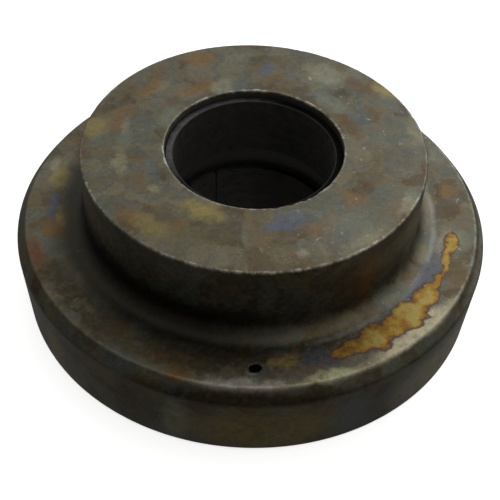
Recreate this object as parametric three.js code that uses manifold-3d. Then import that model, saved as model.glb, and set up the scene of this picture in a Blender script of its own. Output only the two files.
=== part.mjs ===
// Track roller: a single-flange roller body with two wrapped bushes pressed into its bore.
// Millimetres, +Z up along the bore. The origin is the centre of the flange's outer face,
// on which the roller lies, so the tread points up.

import * as THREE from 'three';
import { mergeVertices } from 'three/addons/utils/BufferGeometryUtils.js';
import Module from 'manifold-3d';

// Roller body
const TREAD_R = 53;
const TREAD_WIDTH = 26;
const FLANGE_WIDTH = 28;
const FLANGE_MAX_R = 75;
const FLANGE_BASE_R = 73.5; // the forging's draft narrows the rim towards its outer face
const SHOULDER_R = 72; // outer edge of the face that guides the rail
const SHOULDER_CHAMFER = 4; // height of the chamfer between that face and the widest rim
const BORE_R = 27.5;
const WIDTH = FLANGE_WIDTH + TREAD_WIDTH;

// Corner roundings
const FOOT_FILLET = 5;
const SHOULDER_ROUND = 1.2;
const RIM_ROUND = 2.5;
const BASE_ROUND = 1.5;
const TREAD_ROUND = 0.8;
const BORE_ROUND = 0.5;

// Hardness-test dimple in the flange face
const DIMPLE_WIDTH = 3.4;
const DIMPLE_DEPTH = 1.5;
const DIMPLE_PLACE = { radius: 65, angle: THREE.MathUtils.degToRad(-87.5) };

// Wrapped bushes for a 50 mm axle, 55 mm outside and 20 mm long
const BUSH_INNER_R = 25;
const BUSH_LENGTH = 20;
const BUSH_RECESS = 2.5; // each bush stops this far below its face of the body
const PRESS_GAP = 0.1; // keeps the pressed faces apart in the model
const BUSH_CHAMFER = { outerDepth: 0.35, outerLength: 1, inner: 0.3 };
const SEAM_WIDTH = 0.3; // where the wrapped strip's ends meet
const SEAM_ANGLE = { tread: -60, flange: 120 };

// Facets
const FACETS = 72;
const ARC_STEPS = 3;

const wasm = await Module();
wasm.setup();

function toSolid(geometry) {
  const bare = geometry.clone();
  bare.deleteAttribute('normal');
  bare.deleteAttribute('uv');
  const merged = mergeVertices(bare);
  return new wasm.Manifold(new wasm.Mesh({
    numProp: 3,
    vertProperties: merged.attributes.position.array,
    triVerts: merged.index.array,
  }));
}

function toGeometry(solid) {
  const mesh = solid.getMesh();
  const geometry = new THREE.BufferGeometry();
  geometry.setAttribute('position', new THREE.BufferAttribute(mesh.vertProperties, 3));
  geometry.setIndex(new THREE.BufferAttribute(mesh.triVerts, 1));
  geometry.computeVertexNormals();
  return geometry;
}

// Points of an arc that rounds the corner between its two neighbours.
function roundCorner(before, corner, after, radius) {
  const toBefore = before.clone().sub(corner).normalize();
  const toAfter = after.clone().sub(corner).normalize();
  const halfAngle = Math.acos(toBefore.dot(toAfter)) / 2;
  const bisector = toBefore.clone().add(toAfter).normalize();
  const centre = corner.clone().addScaledVector(bisector, radius / Math.sin(halfAngle));
  const start = corner.clone().addScaledVector(toBefore, radius / Math.tan(halfAngle)).sub(centre);
  const end = corner.clone().addScaledVector(toAfter, radius / Math.tan(halfAngle)).sub(centre);
  const sweep = Math.atan2(start.cross(end), start.dot(end));
  const points = [];
  for (let step = 0; step <= ARC_STEPS; step += 1) {
    const turned = start.clone().rotateAround(new THREE.Vector2(), (sweep * step) / ARC_STEPS);
    points.push(turned.add(centre));
  }
  return points;
}

// Turns a closed half section of [radius, height, rounding] corners about the Z axis.
function turnProfile(corners) {
  const places = corners.map(([radius, height]) => new THREE.Vector2(radius, height));
  const outline = places.flatMap((corner, index) => {
    const rounding = corners[index][2];
    if (!rounding) return [corner];
    const before = places.at(index - 1);
    const after = places[(index + 1) % places.length];
    return roundCorner(before, corner, after, rounding);
  });
  outline.push(outline[0].clone());
  return new THREE.LatheGeometry(outline, FACETS).rotateX(Math.PI / 2);
}

function bodyProfile() {
  return [
    [BORE_R, 0, BORE_ROUND],
    [FLANGE_BASE_R, 0, BASE_ROUND],
    [FLANGE_MAX_R, FLANGE_WIDTH - SHOULDER_CHAMFER, RIM_ROUND],
    [SHOULDER_R, FLANGE_WIDTH, SHOULDER_ROUND],
    [TREAD_R, FLANGE_WIDTH, FOOT_FILLET],
    [TREAD_R, WIDTH, TREAD_ROUND],
    [BORE_R, WIDTH, BORE_ROUND],
  ];
}

// A ball that reaches DIMPLE_DEPTH below the flange face and is DIMPLE_WIDTH wide there.
function dimpleBall() {
  const ballR = ((DIMPLE_WIDTH / 2) ** 2 + DIMPLE_DEPTH ** 2) / (2 * DIMPLE_DEPTH);
  const { radius, angle } = DIMPLE_PLACE;
  const height = FLANGE_WIDTH - DIMPLE_DEPTH + ballR;
  const ball = new THREE.SphereGeometry(ballR, 16, 12).rotateX(Math.PI / 2);
  return ball.translate(radius * Math.cos(angle), radius * Math.sin(angle), height);
}

function rollerBody() {
  const blank = toSolid(turnProfile(bodyProfile()));
  const steel = new THREE.MeshStandardMaterial({ color: 0x5c574a, roughness: 0.5, metalness: 0.85 });
  const mesh = new THREE.Mesh(toGeometry(blank.subtract(toSolid(dimpleBall()))), steel);
  mesh.name = 'roller_body';
  return mesh;
}

function bushProfile() {
  const outerR = BORE_R - PRESS_GAP;
  const { outerDepth, outerLength, inner } = BUSH_CHAMFER;
  return [
    [BUSH_INNER_R, inner],
    [BUSH_INNER_R + inner, 0],
    [outerR - outerDepth, 0],
    [outerR, outerLength],
    [outerR, BUSH_LENGTH - outerLength],
    [outerR - outerDepth, BUSH_LENGTH],
    [BUSH_INNER_R + inner, BUSH_LENGTH],
    [BUSH_INNER_R, BUSH_LENGTH - inner],
  ];
}

function wrappedBush(name, bottom, seamAngle) {
  const slot = new THREE.BoxGeometry(BORE_R, SEAM_WIDTH, 2 * BUSH_LENGTH);
  slot.translate(BORE_R, 0, 0);
  slot.rotateZ(THREE.MathUtils.degToRad(seamAngle));
  const ring = toSolid(turnProfile(bushProfile())).subtract(toSolid(slot));
  const lined = new THREE.MeshStandardMaterial({ color: 0x4b4745, roughness: 0.55, metalness: 0.8 });
  const mesh = new THREE.Mesh(toGeometry(ring), lined);
  mesh.name = name;
  mesh.position.z = bottom;
  return mesh;
}

const trackRoller = new THREE.Group();
trackRoller.add(rollerBody());
trackRoller.add(wrappedBush('tread_side_bush', WIDTH - BUSH_RECESS - BUSH_LENGTH, SEAM_ANGLE.tread));
trackRoller.add(wrappedBush('flange_side_bush', BUSH_RECESS, SEAM_ANGLE.flange));

export default trackRoller;
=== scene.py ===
import math

import bpy
import numpy as np
from mathutils import Matrix, Vector


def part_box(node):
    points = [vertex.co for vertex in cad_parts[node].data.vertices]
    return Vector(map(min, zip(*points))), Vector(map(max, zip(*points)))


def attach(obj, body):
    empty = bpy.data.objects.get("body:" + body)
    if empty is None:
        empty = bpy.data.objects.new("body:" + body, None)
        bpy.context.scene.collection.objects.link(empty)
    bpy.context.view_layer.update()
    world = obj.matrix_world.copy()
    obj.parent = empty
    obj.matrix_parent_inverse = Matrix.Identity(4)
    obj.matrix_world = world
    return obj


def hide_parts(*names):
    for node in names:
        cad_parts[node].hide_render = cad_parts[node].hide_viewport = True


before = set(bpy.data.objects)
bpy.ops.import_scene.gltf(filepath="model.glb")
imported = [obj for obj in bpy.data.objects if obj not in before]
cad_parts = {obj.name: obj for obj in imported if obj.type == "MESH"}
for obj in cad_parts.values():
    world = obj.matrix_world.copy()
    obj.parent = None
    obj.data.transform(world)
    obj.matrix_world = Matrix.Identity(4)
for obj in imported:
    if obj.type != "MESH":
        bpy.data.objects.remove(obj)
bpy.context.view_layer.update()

MM = 0.001

# The body's section, in millimetres, with the heights taken from the frame.
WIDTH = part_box("roller_body")[1][2] / MM
FLANGE_WIDTH = 28.0
TREAD_R = 53.0
FLANGE_MAX_R = 75.0
FLANGE_BASE_R = 73.5
SHOULDER_R = 72.0
SHOULDER_CHAMFER = 4.0
BORE_R = 27.5

# Hardness-test dimple in the flange face.
DIMPLE_R = 65.0
DIMPLE_ANGLE = math.radians(-87.5)
DIMPLE_HALF_WIDTH = 1.7
DIMPLE_DEPTH = 1.5

# Bushes.
BUSH_INNER_R = 25.0
BUSH_OUTER_R = 27.48
SEAM_HALF_GAP = 0.15
POCKET_ROWS = 5
POCKETS_PER_ROW = 30
POCKET_R = 0.95
POCKET_DEPTH = 0.3


# ---------------------------------------------------------------- outlines

def rounded(corners, steps):
    """The outline through (radius, height, rounding) corners, with each corner rounded by an arc."""
    points = []
    for i, (r, z, rounding) in enumerate(corners):
        corner = Vector((r, z))
        before = (Vector(corners[i - 1][:2]) - corner).normalized()
        after = (Vector(corners[(i + 1) % len(corners)][:2]) - corner).normalized()
        half = before.angle(after) / 2
        centre = corner + (before + after).normalized() * (rounding / math.sin(half))
        start = corner + before * (rounding / math.tan(half)) - centre
        sweep = (math.pi - 2 * half) * (1 if before.cross(after) < 0 else -1)
        for k in range(steps + 1):
            points.append(centre + Matrix.Rotation(sweep * k / steps, 2) @ start)
    return points


def graded(points, spacing):
    """Adds points along a closed outline so that neighbours are about spacing(point) apart."""
    result = []
    for a, b in zip(points, points[1:] + points[:1]):
        length = (b - a).length
        stops = [0.0]
        while stops[-1] < length:
            stops.append(stops[-1] + spacing(a.lerp(b, min(1.0, stops[-1] / length))))
        if len(stops) > 2 and stops[-1] - length > length - stops[-2]:
            stops.pop()
        result += [a.lerp(b, s / stops[-1]) for s in stops[:-1]]
    return np.array([tuple(p) for p in result])


def revolve(name, outline, angles, shift, seam=False):
    """A mesh of the outline turned through the angles. shift moves the grid's points before they are placed.

    With a seam, the ends stay apart and are closed by a face each."""
    ring = len(outline)
    a = np.repeat(angles[:, None], ring, axis=1)
    r = np.repeat(outline[None, :, 0], len(angles), axis=0)
    z = np.repeat(outline[None, :, 1], len(angles), axis=0)
    r, z = shift(a, r, z)
    grid = np.stack([r * np.cos(a), r * np.sin(a), z], axis=2) * MM
    faces = []
    turns = len(angles) - 1 if seam else len(angles)
    for i in range(turns):
        this, following = i * ring, (i + 1) % len(angles) * ring
        for j in range(ring):
            k = (j + 1) % ring
            faces.append((this + j, following + j, following + k, this + k))
    if seam:
        faces.append(tuple(range(ring)))
        faces.append(tuple(reversed(range(turns * ring, (turns + 1) * ring))))
    mesh = bpy.data.meshes.new(name)
    mesh.from_pydata(grid.reshape(-1, 3).tolist(), [], faces)
    mesh.update()
    piece = bpy.data.objects.new(name, mesh)
    bpy.context.collection.objects.link(piece)
    mesh.shade_smooth()
    return piece


# ---------------------------------------------------------------- roller body

BODY_CORNERS = [
    (BORE_R, 0, 0.5),
    (FLANGE_BASE_R, 0, 1.5),
    (FLANGE_MAX_R, FLANGE_WIDTH - SHOULDER_CHAMFER, 2.5),
    (SHOULDER_R, FLANGE_WIDTH, 1.2),
    (TREAD_R, FLANGE_WIDTH, 5.0),
    (TREAD_R, WIDTH, 0.7),
    (BORE_R, WIDTH, 0.4),
]
SHARP_EDGES = [
    (BORE_R, WIDTH),
    (TREAD_R, WIDTH),
    (SHOULDER_R, FLANGE_WIDTH),
    (BORE_R, 0),
    (FLANGE_BASE_R, 0),
]
# How many nicks each of those edges has, and how deep they may be.
NICKS = [(40, 0.3), (26, 0.22), (18, 0.2), (20, 0.2), (26, 0.3)]


def body_spacing(point):
    near_edge = min(math.dist(point, edge) for edge in SHARP_EDGES)
    near_dimple = math.dist(point, (DIMPLE_R, FLANGE_WIDTH)) - 1.2 * DIMPLE_HALF_WIDTH
    return min(1.3, 0.22 + 0.25 * max(0.0, min(near_edge - 0.8, near_dimple)))


def body_angles():
    angles = [DIMPLE_ANGLE - math.pi]
    end = angles[0] + 2 * math.pi
    while angles[-1] < end:
        off = abs(angles[-1] - DIMPLE_ANGLE) - math.radians(2.5)
        angles.append(angles[-1] + min(math.radians(0.75), math.radians(0.2) + 0.15 * max(0.0, off)))
    return np.array(angles[:-1])


def nick_edges(a, r, z, rng):
    """Small dents along the sharp edges, deepest on the corner itself."""
    for (edge_r, edge_z), (count, depth) in zip(SHARP_EDGES, NICKS):
        away = np.hypot(r - edge_r, z - edge_z)
        inward = np.array([1.0 if edge_r == BORE_R else -1.0, -1.0 if edge_z > 0 else 1.0]) / math.sqrt(2)
        reach = np.exp(-(away / 0.8) ** 2)
        dent = np.zeros_like(r)
        for _ in range(count):
            centre = rng.uniform(-math.pi, math.pi)
            half = rng.uniform(0.4, 1.8) / edge_r
            deep = depth * rng.uniform(0.2, 1.0) ** 2
            off = np.angle(np.exp(1j * (a - centre))) / half
            dent = np.maximum(dent, deep * np.clip(1 - off ** 2, 0, 1))
        r = r + inward[0] * dent * reach
        z = z + inward[1] * dent * reach
    return r, z


def dimple_distance(x, y):
    """Distance from the dimple's centre, stretched so that DIMPLE_HALF_WIDTH is its uneven outline."""
    dx, dy = x - DIMPLE_R * math.cos(DIMPLE_ANGLE), y - DIMPLE_R * math.sin(DIMPLE_ANGLE)
    around = np.arctan2(dy, dx)
    return np.hypot(dx, dy) / (1 + 0.1 * np.sin(2 * around + 0.6) + 0.04 * np.sin(5 * around))


def body_shift(a, r, z):
    rng = np.random.RandomState(11)
    x, y = r * np.cos(a), r * np.sin(a)
    away = dimple_distance(x, y)
    on_face = np.abs(z - FLANGE_WIDTH) < 0.01
    inside = np.clip(away / DIMPLE_HALF_WIDTH, 0, 1)
    around = np.arctan2(y - DIMPLE_R * math.sin(DIMPLE_ANGLE), x - DIMPLE_R * math.cos(DIMPLE_ANGLE))
    burr_side = np.clip(np.cos(around - math.radians(-130)), 0, 1) ** 2
    burr = 0.2 * burr_side * np.exp(-((away - 1.25 * DIMPLE_HALF_WIDTH) / 0.45) ** 2)
    pushed = np.where(away < DIMPLE_HALF_WIDTH, -DIMPLE_DEPTH * np.sqrt(1 - inside ** 3), burr)
    z = z + np.where(on_face, pushed, 0)
    return nick_edges(a, r, z, rng)


def make_body():
    outline = graded(rounded(BODY_CORNERS, 6), body_spacing)
    body = revolve("roller_body_steel", outline, body_angles(), body_shift)
    r = np.hypot(*np.array([v.co[:2] for v in body.data.vertices]).T) / MM
    z = np.array([v.co[2] for v in body.data.vertices]) / MM
    near = np.min([np.hypot(r - er, z - ez) for er, ez in SHARP_EDGES], axis=0)
    edge = body.data.attributes.new("edge", "FLOAT", "POINT")
    edge.data.foreach_set("value", np.clip(1 - near / 1.6, 0, 1).astype(np.float32))
    x, y, _ = np.array([v.co for v in body.data.vertices]).T / MM
    away = dimple_distance(x, y)
    sunk = (away < DIMPLE_HALF_WIDTH) & (z < FLANGE_WIDTH - 0.2) & (z > FLANGE_WIDTH - 2)
    pit = body.data.attributes.new("pit", "FLOAT", "POINT")
    pit.data.foreach_set("value", sunk.astype(np.float32))
    return body


# ---------------------------------------------------------------- bushes

def bush_outline(length):
    return [
        (BUSH_INNER_R, 0, 0.25),
        (BUSH_OUTER_R - 0.35, 0, 0.1),
        (BUSH_OUTER_R, 1.0, 0.4),
        (BUSH_OUTER_R, length - 1.0, 0.4),
        (BUSH_OUTER_R - 0.35, length, 0.1),
        (BUSH_INNER_R, length, 0.25),
    ]


def make_bush(node, seam_angle):
    low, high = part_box(node)
    bottom, length = low[2] / MM, (high[2] - low[2]) / MM

    def spacing(point):
        return 0.45 if point[0] < BUSH_INNER_R + 0.05 else 1.0

    def shift(a, r, z):
        """Grease pockets: rows of shallow round dents in the sliding face."""
        pitch = length / POCKET_ROWS
        row = np.floor(z / pitch)
        offset = (a - seam_angle) * POCKETS_PER_ROW / (2 * math.pi) + 0.5 * (row % 2)
        across = (offset - np.round(offset)) * 2 * math.pi * BUSH_INNER_R / POCKETS_PER_ROW
        along = z - (row + 0.5) * pitch
        depth = POCKET_DEPTH * np.clip(1 - (across ** 2 + along ** 2) / POCKET_R ** 2, 0, 1) ** 0.5
        clear = np.abs(np.angle(np.exp(1j * (a - seam_angle)))) * BUSH_INNER_R > 2.0
        r = r + np.where((r < BUSH_INNER_R + 0.01) & clear, depth, 0)
        return r, z + bottom

    half = SEAM_HALF_GAP / BUSH_INNER_R
    angles = np.linspace(seam_angle + half, seam_angle + 2 * math.pi - half, 361)
    outline = graded(rounded(bush_outline(length), 3), spacing)
    return revolve(node + "_ring", outline, angles, shift, seam=True)


# ---------------------------------------------------------------- material helpers

def linear(r, g, b):
    """A display colour, 0 to 255, as scene-linear values."""
    shares = [c / 255 for c in (r, g, b)]
    return tuple(c / 12.92 if c <= 0.04 else ((c + 0.055) / 1.055) ** 2.4 for c in shares) + (1.0,)


class Nodes:
    """Adds nodes to a tree and returns their outputs."""

    def __init__(self, tree):
        self.tree = tree

    def add(self, kind, inputs=None, out=0, **settings):
        node = self.tree.nodes.new("ShaderNode" + kind)
        for key, value in settings.items():
            setattr(node, key, value)
        for key, value in (inputs or {}).items():
            self.put(node.inputs[key], value)
        return node.outputs[out]

    def put(self, socket, value):
        if isinstance(value, bpy.types.NodeSocket):
            self.tree.links.new(value, socket)
        else:
            socket.default_value = value

    def math(self, operation, a, b=0.0, c=0.0):
        return self.add("Math", {0: a, 1: b, 2: c}, operation=operation)

    def vector(self, operation, a, b=(0, 0, 0)):
        out = "Value" if operation in ("LENGTH", "DOT_PRODUCT") else "Vector"
        return self.add("VectorMath", {0: a, 1: b}, out=out, operation=operation)

    def noise(self, vector, scale, detail=2.0, roughness=0.5, distortion=0.0, out="Fac"):
        inputs = {"Vector": vector, "Scale": scale, "Detail": detail}
        inputs.update({"Roughness": roughness, "Distortion": distortion})
        return self.add("TexNoise", inputs, out=out)

    def step(self, value, low, high, to_low=0.0, to_high=1.0):
        """A smooth step from to_low to to_high as value goes from low to high."""
        inputs = {"Value": value, "From Min": low, "From Max": high, "To Min": to_low, "To Max": to_high}
        return self.add("MapRange", inputs, interpolation_type="SMOOTHSTEP")

    def mix(self, factor, a, b, blend="MIX"):
        node = self.tree.nodes.new("ShaderNodeMix")
        node.data_type = "RGBA"
        node.blend_type = blend
        for index, value in ((0, factor), (6, a), (7, b)):
            self.put(node.inputs[index], value)
        return node.outputs[2]

    def ramp(self, value, stops):
        node = self.tree.nodes.new("ShaderNodeValToRGB")
        self.put(node.inputs[0], value)
        elements = node.color_ramp.elements
        while len(elements) < len(stops):
            elements.new(0.5)
        for element, (position, colour) in zip(elements, stops):
            element.position = position
            element.color = linear(*colour)
        return node.outputs[0]

    def spot(self, place, centre, half_size, turn, strength):
        """A soft elliptical patch: strength over its middle, falling to 0 a little outside its edge."""
        reach = [1.3 * half for half in half_size]
        inputs = {"Vector": place, "Location": centre, "Rotation": (0, 0, turn), "Scale": reach}
        local = self.add("Mapping", inputs, vector_type="TEXTURE")
        inside = self.add("TexGradient", {"Vector": local}, out="Fac", gradient_type="SPHERICAL")
        return self.step(inside, 0.0, 0.7, 0.0, strength)


class MaterialNodes(Nodes):
    """The node tree of a new material."""

    def __init__(self, name):
        self.material = bpy.data.materials.new(name)
        self.material.use_nodes = True
        super().__init__(self.material.node_tree)
        self.shader = self.tree.nodes["Principled BSDF"]

    def millimetres(self):
        """The place on the part, in millimetres."""
        mm = self.vector("SCALE", self.add("TexCoord", out="Object"))
        mm.node.inputs["Scale"].default_value = 1 / MM
        return mm


# ---------------------------------------------------------------- roller body's finish

# Small oxide clouds scattered over each surface: its height, how far up and down they reach, the range of
# their radii, and how many there are.
SCATTER = {
    "tread face": (WIDTH, 4.0, (30, 51), 44),
    "flange face": (FLANGE_WIDTH, 1.5, (60, 71), 30),
    "tread wall": (41.0, 10.0, (TREAD_R, TREAD_R), 12),
    "flange rim": (10.0, 12.0, (74, 74), 14),
}
CLOUD_COLOURS = [
    (116, 90, 54), (112, 84, 48), (88, 70, 50), (84, 92, 92), (80, 88, 104), (102, 106, 92), (122, 118, 96),
    (130, 118, 72), (112, 110, 98), (68, 58, 44), (134, 132, 114), (96, 100, 104),
]

# Broad tones, in round numbers: height, reach up and down, angle in degrees, radius, half length along the
# ring, half width across it, colour and strength.
TONES = [
    # Painted shade: the next two darken the flange face's front-left beside the tread.
    (FLANGE_WIDTH, 1.5, -140, 66, 24, 6, (54, 47, 34), 0.9),
    (FLANGE_WIDTH, 1.5, -115, 66, 14, 5, (72, 62, 42), 0.8),
    (FLANGE_WIDTH, 1.5, -90, 71, 16, 2.5, (152, 146, 138), 0.9),
    (FLANGE_WIDTH, 1.5, -70, 71, 10, 2.5, (158, 158, 124), 0.9),
    (FLANGE_WIDTH, 1.5, -45, 70, 20, 3, (158, 152, 126), 1.0),
    (FLANGE_WIDTH, 1.5, -80, 63, 6, 2.5, (160, 138, 76), 0.8),
    (FLANGE_WIDTH, 1.5, -70, 64, 8, 4, (76, 82, 92), 0.9),
    (FLANGE_WIDTH, 1.5, -30, 60, 20, 3, (92, 96, 108), 0.8),
    (FLANGE_WIDTH, 1.5, -160, 70, 8, 3, (98, 60, 40), 0.8),
    (WIDTH, 4.0, -50, 42, 12, 8, (94, 98, 94), 0.6),
    (WIDTH, 4.0, 60, 44, 8, 5, (130, 130, 114), 0.6),
    # Painted shade: darker towards the front-left of the tread's top face.
    (WIDTH, 4.0, -115, 44, 24, 10, (84, 77, 57), 0.4),
    # Painted reflections: pale bands across the tread's wall at the front-left and front-right.
    (45.0, 5.0, -150, TREAD_R, 20, 8, (122, 112, 92), 0.8),
    (45.0, 5.0, -30, TREAD_R, 26, 8, (126, 120, 94), 0.8),
    (24.5, 2.5, -90, 73, 50, 8, (52, 46, 36), 0.95),
    (24.5, 2.5, -10, 73, 30, 8, (150, 145, 132), 0.9),
    (10.0, 12.0, -85, 74, 26, 8, (132, 116, 72), 0.8),
    (10.0, 12.0, -35, 74, 28, 8, (160, 152, 128), 0.8),
]

# The temper film runs along the flange's face between these angles, as evenly spaced spots. Each spot has a
# half length, a half width and a thickness, from the narrow end to the wide one.
FILM_START = -12
FILM_END = -62
FILM_R = 64
FILM_SPOTS = [
    (7, 2, 0.9),
    (6, 2, 0.8),
    (6, 2, 0.8),
    (7, 4, 1.0),
    (7, 5, 1.2),
    (7, 4, 0.75),
    (7, 5, 0.95),
    (9, 3, 0.75),
]
FILM_COLOURS = [
    (0.00, (98, 96, 96)),
    (0.24, (78, 74, 82)),
    (0.40, (84, 68, 56)),
    (0.56, (124, 91, 42)),
    (0.76, (136, 108, 48)),
    (1.00, (144, 128, 74)),
]

# Painted shade round the tread's foot, on the side facing this direction.
FOOT_SHADE_SIDE = (-0.85, -0.53, 0.0)
# The flange's rim is not rubbed bright on the side facing this direction.
DULL_RIM_SIDE = (-0.9, -0.43, 0.0)


def on_ring(angle, radius, height):
    turn = math.radians(angle)
    return (radius * math.cos(turn), radius * math.sin(turn), height), turn


def wander(n, mm, scale, reach, detail=3.0):
    """The place pushed about sideways by noise, so that patch outlines are ragged."""
    drift = n.noise(mm, scale, detail=detail, roughness=0.6, out="Color")
    drift = n.vector("MULTIPLY", n.vector("SUBTRACT", drift, (0.5, 0.5, 0.5)), (reach, reach, 0.0))
    return n.vector("ADD", mm, drift)


def base_oxide(n, mm):
    """Warm grey oxide with soft brown, green and blue-grey blotches."""
    clouds = n.noise(mm, 0.09, detail=5.0, roughness=0.55, distortion=0.6)
    colour = n.ramp(clouds, [
        (0.32, (74, 67, 51)),
        (0.43, (86, 80, 64)),
        (0.50, (93, 90, 76)),
        (0.57, (83, 84, 72)),
        (0.68, (88, 90, 88)),
    ])
    ragged = wander(n, mm, 0.22, 9.0)
    inputs = {"Vector": ragged, "Scale": 0.15, "Smoothness": 0.55}
    cells = n.add("TexVoronoi", inputs, out="Color", feature="SMOOTH_F1")
    tint = n.ramp(n.add("SeparateColor", {0: cells}, out=0), [
        (0.2, (76, 66, 52)),
        (0.35, (104, 92, 68)),
        (0.5, (95, 95, 84)),
        (0.65, (80, 86, 84)),
        (0.8, (110, 106, 88)),
    ])
    colour = n.mix(0.55, colour, tint)
    warm = n.noise(mm, 0.2, detail=4.0, roughness=0.6, distortion=0.8)
    colour = n.mix(n.step(warm, 0.52, 0.72, 0.0, 0.5), colour, linear(106, 90, 66))
    cool = n.noise(mm, 0.27, detail=4.0, roughness=0.6)
    return n.mix(n.step(cool, 0.54, 0.72, 0.0, 0.5), colour, linear(94, 100, 96))


def cloud(n, wandered, breakup, colour, tone):
    """Mixes one soft patch of a tone into the colour."""
    height, reach, angle, radius, along, across, tint, strength = tone
    centre, turn = on_ring(angle, radius, height)
    spot = n.spot(wandered, centre, (across, along, reach), turn, strength)
    return n.mix(n.math("MULTIPLY", spot, breakup), colour, linear(*tint))


def scattered_tones():
    """Small clouds at random places, in colours drawn from the list."""
    rng = np.random.RandomState(5)
    tones = []
    for height, reach, (inner, outer), count in SCATTER.values():
        for _ in range(count):
            angle, radius = rng.uniform(-180, 180), rng.uniform(inner, outer)
            along, across = rng.uniform(2, 8), rng.uniform(1.5, 4.5)
            tint = CLOUD_COLOURS[rng.randint(len(CLOUD_COLOURS))]
            tones.append((height, reach, angle, radius, along, across, tint, rng.uniform(0.6, 0.95)))
    return tones


def oxide_clouds(n, mm, colour):
    wandered = wander(n, mm, 0.2, 7.0)
    breakup = n.step(n.noise(mm, 0.4, detail=4.0, roughness=0.65), 0.3, 0.6, 0.5, 1.0)
    for tone in scattered_tones() + TONES:
        colour = cloud(n, wandered, breakup, colour, tone)
    return colour


def temper_film(n, mm, colour):
    wandered = wander(n, mm, 0.2, 7.0, detail=2.5)
    thickness = 0.0
    angles = np.linspace(FILM_START, FILM_END, len(FILM_SPOTS))
    for angle, (along, across, amount) in zip(angles, FILM_SPOTS):
        centre, turn = on_ring(angle, FILM_R, FLANGE_WIDTH)
        spot = n.spot(wandered, centre, (across, along, 4.0), turn, amount)
        thickness = n.math("SMOOTH_MAX", thickness, spot, 0.25)
    ripple = n.noise(mm, 0.3, detail=4.0)
    thickness = n.math("MULTIPLY", thickness, n.step(ripple, 0.3, 0.7, 0.7, 1.15))
    return n.mix(n.step(thickness, 0.12, 0.3), colour, n.ramp(thickness, FILM_COLOURS))


def painted_foot_shade_and_highlight(n, colour, height, radius, across, side, coarse_noise):
    """Painted shade round the tread's foot on one side, and a painted highlight line round it on the other.
    """
    ragged_radius = n.math("ADD", radius, n.math("MULTIPLY", coarse_noise, 6.0))
    near_foot = n.math("MULTIPLY", n.step(ragged_radius, 60.5, 71.0, 1.0, 0.0), n.step(height, 41.0, 34.0))
    # Painted shade: darkens the fillet and inner flange face round the tread's foot on one side.
    scale = n.math("MULTIPLY", near_foot, n.step(side, 0.1, 0.75, 0.0, 0.92))
    colour = n.mix(scale, colour, linear(42, 40, 35))
    # Painted highlight: a pale line round the fillet's outer edge on the other side, towards +x.
    painted_highlight_line = n.math("MULTIPLY", n.step(radius, 57.0, 58.3), n.step(radius, 59.9, 58.6))
    painted_highlight_line = n.math("MULTIPLY", painted_highlight_line, n.step(coarse_noise, 0.4, 0.6, 0.1, 0.65))
    painted_highlight_line = n.math("MULTIPLY", painted_highlight_line, n.step(side, 0.6, 0.1))
    painted_highlight_line = n.math("MULTIPLY", painted_highlight_line, n.step(across, 5.0, 30.0))
    return n.mix(painted_highlight_line, colour, linear(126, 128, 126))


def grain_and_painted_glints(n, mm, colour, across, mottle, grain):
    """Fine mottle and grain, and painted glints: pale flecks on the faces that look up, more of them towards
    +x.
    """
    mottled = n.ramp(mottle, [(0.3, (212, 210, 207)), (0.7, (255, 255, 255))])
    colour = n.mix(1.0, colour, mottled, "MULTIPLY")
    grained = n.ramp(grain, [(0.3, (234, 234, 234)), (0.7, (255, 255, 255))])
    colour = n.mix(1.0, colour, grained, "MULTIPLY")
    # Painted highlights: pale glints on the upward faces, stronger towards +x.
    painted_glints = n.step(n.noise(mm, 0.42, detail=4.0, roughness=0.75, distortion=0.5), 0.62, 0.72)
    upward = n.add("SeparateXYZ", {0: n.add("TexCoord", out="Normal")}, out=2)
    painted_glints = n.math("MULTIPLY", painted_glints, n.step(upward, 0.8, 0.95))
    painted_glints = n.math("MULTIPLY", painted_glints, n.step(across, -10.0, 30.0, 0.12, 0.6))
    return n.mix(painted_glints, colour, linear(150, 150, 138))


def worn_edges(n, mm, colour, height, radius, flat, coarse_noise):
    """Bare metal on the worn edges. The chamfer and one side of the flange's rim stay dull."""
    edge = n.add("Attribute", attribute_name="edge", out="Fac")
    rub = n.noise(mm, 0.3, detail=5.0, roughness=0.7)
    ragged_edge = n.math("ADD", edge, n.math("MULTIPLY", n.math("SUBTRACT", rub, 0.5), 1.2))
    worn = n.math("MULTIPLY", n.step(ragged_edge, 0.45, 0.85), n.step(rub, 0.4, 0.62, 0.25, 0.85))
    worn = n.math("MULTIPLY", worn, n.step(coarse_noise, 0.42, 0.56, 0.3, 1.0))
    dull_side = n.vector("DOT_PRODUCT", n.vector("NORMALIZE", flat), DULL_RIM_SIDE)
    on_flange = n.step(radius, 60.0, 66.0)
    dull = n.math("MULTIPLY", n.step(dull_side, -0.1, 0.7, 0.6, 0.92), on_flange)
    chamfer = n.math("MULTIPLY", n.step(height, 27.0, 25.8), n.step(height, 8.0, 20.0))
    dull = n.math("MAXIMUM", dull, n.math("MULTIPLY", chamfer, on_flange))
    worn = n.math("MULTIPLY", worn, n.math("SUBTRACT", 1.0, dull))
    return n.mix(worn, colour, linear(152, 148, 136))


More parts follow.
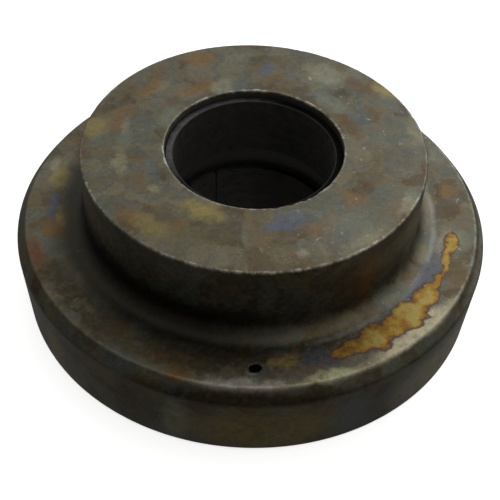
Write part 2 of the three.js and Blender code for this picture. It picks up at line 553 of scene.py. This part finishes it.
def steel_material():
    n = MaterialNodes("heat_tinted_steel")
    mm = n.millimetres()
    across, _, height = (n.add("SeparateXYZ", {0: mm}, out=i) for i in range(3))
    flat = n.vector("MULTIPLY", mm, (1, 1, 0))
    radius = n.vector("LENGTH", flat)
    side = n.vector("DOT_PRODUCT", n.vector("NORMALIZE", flat), FOOT_SHADE_SIDE)
    coarse_noise = n.noise(mm, 0.12, detail=4.0, roughness=0.6)
    mottle = n.noise(mm, 0.6, detail=4.0, roughness=0.65)
    grain = n.noise(mm, 2.0, detail=3.0, roughness=0.6)
    colour = oxide_clouds(n, mm, base_oxide(n, mm))
    colour = temper_film(n, mm, colour)
    colour = painted_foot_shade_and_highlight(n, colour, height, radius, across, side, coarse_noise)

    # The bore is painted dark grey; painted shade makes it darker further in.
    bore = n.step(radius, BORE_R + 0.15, BORE_R + 0.35, 0.92, 0.0)
    deep = n.step(height, WIDTH - 3.0, WIDTH - 1.5, 1.0, 0.0)
    colour = n.mix(bore, colour, n.mix(deep, linear(66, 63, 54), linear(48, 46, 42)))

    colour = grain_and_painted_glints(n, mm, colour, across, mottle, grain)
    colour = worn_edges(n, mm, colour, height, radius, flat, coarse_noise)
    # Painted shade: the dimple's sunk floor is near-black.
    pit = n.add("Attribute", attribute_name="pit", out="Fac")
    colour = n.mix(pit, colour, linear(14, 12, 10))

    polish = n.step(height, FLANGE_WIDTH + 3, WIDTH - 4, 0.12, 0.1)
    rough = n.math("ADD", n.step(mottle, 0.3, 0.7, 0.3, 0.42), polish)
    waves = n.noise(mm, 0.3, detail=4.0, roughness=0.6)
    bump_height = n.math("ADD", n.math("MULTIPLY", grain, 0.03), n.math("MULTIPLY", waves, 0.15))
    bump = n.add("Bump", {"Height": bump_height, "Distance": MM, "Strength": 0.5})
    n.put(n.shader.inputs["Base Color"], colour)
    n.put(n.shader.inputs["Roughness"], n.math("ADD", rough, n.math("MULTIPLY", pit, 0.3)))
    n.put(n.shader.inputs["Normal"], bump)
    n.put(n.shader.inputs["Metallic"], n.math("SUBTRACT", 1.0, n.math("MULTIPLY", bore, 0.8)))
    return n.material


def bush_material():
    """Oily grey steel on the ends, painted near-black as shade on one side, and a dark greased sliding face.
    """
    n = MaterialNodes("bush_steel")
    mm = n.millimetres()
    flat = n.vector("MULTIPLY", mm, (1, 1, 0))
    radius = n.vector("LENGTH", flat)
    lining = n.step(radius, BUSH_INNER_R + 0.28, BUSH_INNER_R + 0.42, 1.0, 0.0)
    stains = n.noise(mm, 0.3, detail=4.0, roughness=0.6)
    # Painted shade: the ends are grey on the side facing this direction and near-black elsewhere.
    toward_lit_side = n.vector("DOT_PRODUCT", n.vector("NORMALIZE", flat), (-0.82, 0.57, 0.0))
    painted_lit_side = n.step(n.math("ADD", toward_lit_side, n.math("MULTIPLY", stains, 0.3)), 0.3, 1.05)
    steel = n.ramp(stains, [(0.35, (54, 53, 54)), (0.65, (78, 76, 78))])
    steel = n.mix(painted_lit_side, linear(8, 8, 7), steel)
    dark = n.ramp(stains, [(0.35, (42, 41, 38)), (0.65, (52, 51, 47))])
    n.put(n.shader.inputs["Base Color"], n.mix(lining, steel, dark))
    n.put(n.shader.inputs["Roughness"], n.step(painted_lit_side, 0.0, 0.8, 0.9, 0.55))
    grain = n.noise(mm, 2.0, detail=3.0)
    n.put(n.shader.inputs["Normal"], n.add("Bump", {"Height": grain, "Distance": 0.05 * MM, "Strength": 0.5}))
    n.put(n.shader.inputs["Metallic"], n.step(lining, 0.0, 1.0, 0.8, 0.3))
    n.shader.inputs["Specular IOR Level"].default_value = 0.2
    return n.material


# ---------------------------------------------------------------- studio

CAMERA_PLACE = Vector((0.0, -0.2536, 0.2695))
CAMERA_AIM = Vector((0.0, -0.018, 0.027))
CAMERA_ROLL = math.radians(2.45)
CAMERA_LENS = 78.2


def make_camera():
    data = bpy.data.cameras.new("camera")
    data.lens = CAMERA_LENS
    data.sensor_width = 36.0
    camera = bpy.data.objects.new("camera", data)
    bpy.context.collection.objects.link(camera)
    look = (CAMERA_AIM - CAMERA_PLACE).to_track_quat("-Z", "Y").to_matrix().to_4x4()
    camera.matrix_world = Matrix.Translation(CAMERA_PLACE) @ look @ Matrix.Rotation(CAMERA_ROLL, 4, "Z")
    bpy.context.scene.camera = camera


def make_floor():
    mesh = bpy.data.meshes.new("floor")
    side = 4.0
    corners = [(-side, -side, 0), (side, -side, 0), (side, side, 0), (-side, side, 0)]
    mesh.from_pydata(corners, [], [(0, 1, 2, 3)])
    floor = bpy.data.objects.new("floor", mesh)
    bpy.context.collection.objects.link(floor)
    n = MaterialNodes("floor_paint")
    n.shader.inputs["Base Color"].default_value = (0.6, 0.6, 0.6, 1)
    n.shader.inputs["Roughness"].default_value = 0.9
    n.shader.inputs["Emission Color"].default_value = (1, 1, 1, 1)
    n.shader.inputs["Emission Strength"].default_value = 0.75
    mesh.materials.append(n.material)
    floor.visible_glossy = False
    floor.visible_diffuse = False


def make_light(name, place, size, power):
    data = bpy.data.lights.new(name, "AREA")
    data.size = size
    data.energy = power
    light = bpy.data.objects.new(name, data)
    bpy.context.collection.objects.link(light)
    light.location = place
    light.rotation_euler = (-Vector(place)).to_track_quat("-Z", "Y").to_euler()


SKY_KEY = Vector((0.45, 0.8, 0.45)).normalized()


def make_sky():
    """Soft studio light: brightest behind and to the right, dim in front, and a dark surround below."""
    world = bpy.data.worlds.new("studio")
    bpy.context.scene.world = world
    world.use_nodes = True
    n = Nodes(world.node_tree)
    direction = n.add("TexCoord", out="Generated")
    towards_key = n.vector("DOT_PRODUCT", direction, tuple(SKY_KEY))
    above = n.step(n.add("SeparateXYZ", {0: direction}, out=2), -0.04, 0.22)
    upper = n.step(towards_key, -0.5, 0.95, 0.25, 1.25)
    level = n.add("MapRange", {"Value": above, "To Min": 0.2, "To Max": upper})
    n.put(n.tree.nodes["Background"].inputs["Strength"], level)
    n.tree.nodes["Background"].inputs["Color"].default_value = (1.0, 0.99, 0.96, 1.0)


body = make_body()
body.data.materials.append(steel_material())
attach(body, "root")
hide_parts("roller_body")

bush_finish = bush_material()
for node, seam in (("tread_side_bush", -60), ("flange_side_bush", 120)):
    bush = make_bush(node, math.radians(seam))
    bush.data.materials.append(bush_finish)
    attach(bush, "root")
    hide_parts(node)

make_camera()
make_floor()
make_sky()
make_light("back_softbox", (0.6, 0.9, 0.8), 0.8, 4)
bpy.context.scene.view_settings.view_transform = "Standard"
